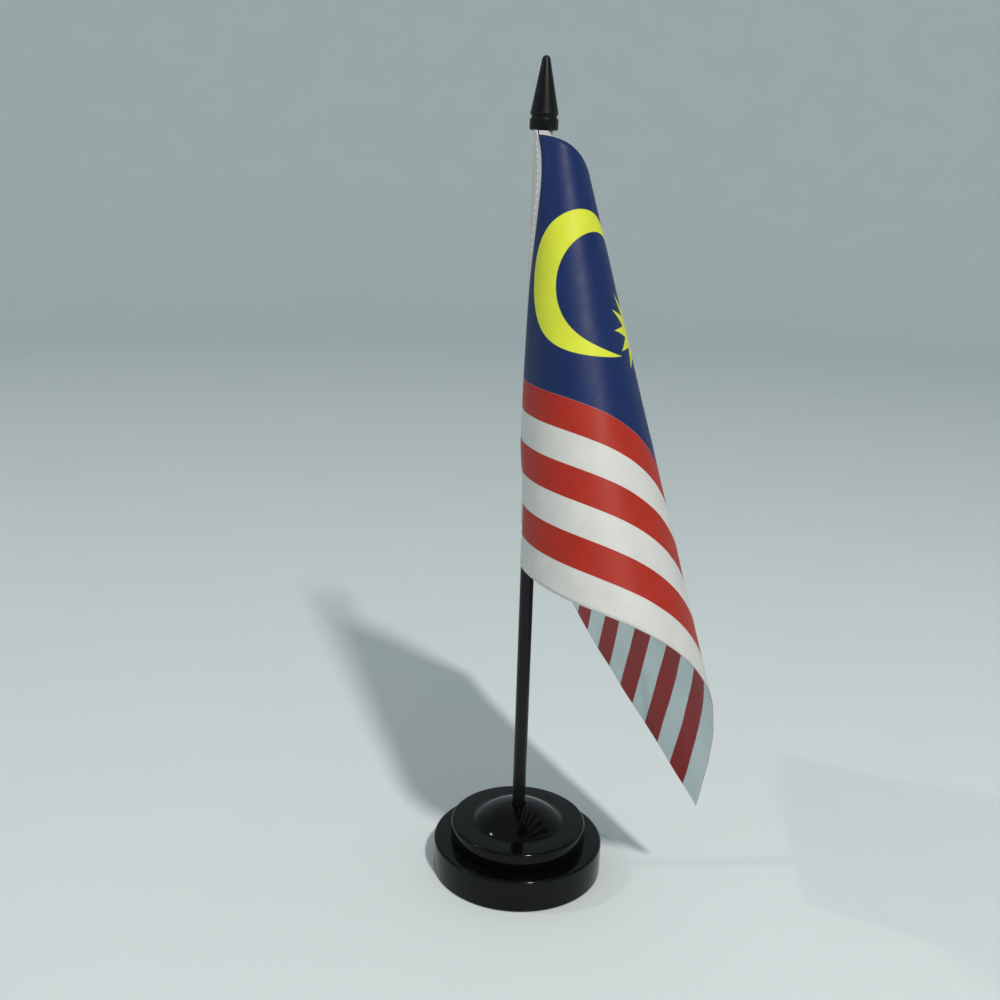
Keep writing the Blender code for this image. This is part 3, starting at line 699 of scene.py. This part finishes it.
def makeStitching(thread, rulings):
    # one row on the printed side and one on the sleeve's side, joined in one piece
    s, f = stitching, flag
    offsets = (-f["thickness"] / 2, f["seamGap"] + f["thickness"] / 2)
    points, edges = [], []
    for offset in offsets:
        drops = np.linspace(s["inset"], f["hoist"] - s["inset"], s["linePoints"])
        first = len(points)
        points += [hangOff(rulings, seamAt(drop) - s["beside"], drop, offset)[0] for drop in drops]
        edges += [(i, i + 1) for i in range(first, len(points) - 1)]
    mesh = bpy.data.meshes.new("seamLine")
    mesh.from_pydata([tuple(p) for p in points], edges, [])
    guide = bpy.data.objects.new("seamLine", mesh)
    bpy.context.scene.collection.objects.link(guide)
    tree = stitchRow()
    modifier = guide.modifiers.new("stitches", "NODES")
    modifier.node_group = tree
    values = {"Pitch": s["pitch"], "Stitch Length": s["length"], "Thread Radius": s["thread"],
              "Material": thread}
    for socket in tree.interface.items_tree:
        if socket.in_out == "INPUT" and socket.name in values:
            modifier[socket.identifier] = values[socket.name]
    graph = bpy.context.evaluated_depsgraph_get()
    finished = bpy.data.meshes.new_from_object(guide.evaluated_get(graph))
    bpy.data.objects.remove(guide, do_unlink=True)
    finished.name = "sleeveStitches"
    stitches = bpy.data.objects.new("sleeveStitches", finished)
    bpy.context.scene.collection.objects.link(stitches)
    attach(stitches, "flag")
    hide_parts("sleeve_seam")
    return stitches


looseEnd = dict(radius=0.00013, points=((-0.0029, -0.0006, 0.2694), (-0.0035, -0.0009, 0.2701),
                                        (-0.0042, -0.0010, 0.2708), (-0.0047, -0.0014, 0.2719)))


def makeLooseEnd(thread):
    # the sewing thread's end, left a few millimetres long at the sleeve's top
    line = bpy.data.curves.new("threadEnd", "CURVE")
    line.dimensions = "3D"
    line.bevel_depth = looseEnd["radius"]
    line.bevel_resolution = 3
    line.use_fill_caps = True
    spline = line.splines.new("NURBS")
    spline.points.add(len(looseEnd["points"]) - 1)
    for point, place in zip(spline.points, looseEnd["points"]):
        point.co = (*place, 1.0)
    spline.use_endpoint_u = True
    spline.order_u = 4
    spline.resolution_u = 8
    drawn = bpy.data.objects.new("threadEndLine", line)
    bpy.context.scene.collection.objects.link(drawn)
    mesh = bpy.data.meshes.new_from_object(drawn.evaluated_get(bpy.context.evaluated_depsgraph_get()))
    bpy.data.objects.remove(drawn, do_unlink=True)
    mesh.name = "threadEnd"
    mesh.materials.clear()
    mesh.materials.append(thread)
    end = bpy.data.objects.new("threadEnd", mesh)
    bpy.context.scene.collection.objects.link(end)
    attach(end, "flag")
    return end


room = dict(
    floorRadius=1.5, rise=0.9, wall=1.2, riseSteps=24, steps=128, sky="#eaf1f3", skyStrength=0.36,
    lens=43.2, eye=(-0.01079, -0.41694, 0.26609), tilt=74.255, roll=1.740,
    lamps=(
        # place, aimed at, diameter, watts, colour
        ((0.37, -0.93, 1.20), (0.01, 0.0, 0.14), 0.10, 13.8, "#fffaf4"),
        ((-1.08, -0.07, 1.10), (0.0, 0.0, 0.10), 0.08, 2.0, "#fffaf4"),
    ),
)


def makeRoom():
    r = room
    material, tree, shader = newMaterial("paleMattPaper", 0.75, IOR=1.45, Specular_IOR_Level=0.2)
    place = addNode(tree, "ShaderNodeTexCoord").outputs["Object"]
    patches = addNode(tree, "ShaderNodeTexNoise", None, Vector=place, Scale=14.0, Detail=3.0).outputs["Fac"]
    tint = addNode(tree, "ShaderNodeMix", {"data_type": "RGBA"}, n0=patches, n6=linear("#e2ecee"),
                   n7=linear("#e7f0f2")).outputs[2]
    tree.links.new(tint, shader.inputs["Base Color"])
    # the floor is a round sheet of paper that sweeps up into a wall all round
    sweep = [Vector((r["floorRadius"] + r["rise"] * math.sin(a), r["rise"] * (1 - math.cos(a))))
             for a in np.linspace(0.0, math.pi / 2, r["riseSteps"] + 1)]
    floor = turned("floor", [Vector((r["floorRadius"] + r["rise"], r["rise"] + r["wall"]))]
                   + sweep[::-1] + [Vector((0.0, 0.0))], r["steps"], material, closed=False)
    for polygon in floor.data.polygons:
        polygon.flip()

    world = bpy.data.worlds.new("studio")
    world.use_nodes = True
    bpy.context.scene.world = world
    background = world.node_tree.nodes["Background"]
    background.inputs["Color"].default_value = linear(r["sky"])
    background.inputs["Strength"].default_value = r["skyStrength"]

    for index, (place, aim, width, watts, colour) in enumerate(r["lamps"]):
        lamp = bpy.data.lights.new(f"softbox{index + 1}", "AREA")
        lamp.shape = "DISK"
        lamp.size = width
        lamp.energy = watts
        lamp.color = linear(colour)[:3]
        box = bpy.data.objects.new(lamp.name, lamp)
        box.location = place
        box.rotation_euler = (Vector(aim) - Vector(place)).to_track_quat("-Z", "Y").to_euler()
        bpy.context.scene.collection.objects.link(box)

    view = bpy.data.cameras.new("camera")
    view.lens = r["lens"]
    view.sensor_width = 36.0
    view.clip_start = 0.01
    camera = bpy.data.objects.new("camera", view)
    turn = Matrix.Rotation(math.radians(r["tilt"]), 4, "X") @ Matrix.Rotation(math.radians(r["roll"]), 4, "Z")
    camera.matrix_world = Matrix.Translation(r["eye"]) @ turn
    bpy.context.scene.collection.objects.link(camera)
    bpy.context.scene.camera = camera
    bpy.context.scene.view_settings.view_transform = "Standard"


makeRoom()
print("room, lamps and camera made")

glossBlack = glossMouldedAbs()
satinBlack = satinMouldedPolypropylene()
makeLowerTier(glossBlack)
makeUpperTier(glossBlack)
dressHiddenBase()
print("base made")

makePole(satinBlack)
makeFinial(satinBlack)
print("pole and finial made")

rulings = makeRulings()
middle = flag["hoist"] / 2
hemPoints = hemRow(rulings, middle, flag["hemColumns"])
hemPoints = np.concatenate([hemPoints, hang(rulings, np.array([0.0]), middle)])
flag["hem"] = float(np.linalg.norm(np.diff(hemPoints, axis=0), axis=1).sum())
flag["flat"] = flag["hem"] + flag["fly"]
clothFront = printedPolyester("printedPolyesterFace", "#a92818", "#d2d2cf", "#082459", "#d6de3a")
# the back's print is duller, and its white is tinted cool: painted bluish light on the shaded back
clothBackPaintedCoolCast = printedPolyester("printedPolyesterBackPaintedCoolCast", "#a02c2c", "#dbe9eb", "#1a2c5c", "#cfd948")
cloth = makeFlag(clothFront, clothBackPaintedCoolCast, rulings)
thread = spunThread()
stitches = makeStitching(thread, rulings)
threadEnd = makeLooseEnd(thread)
print("flag made:", round(flag["flat"] * 1000, 1), "mm long cut")
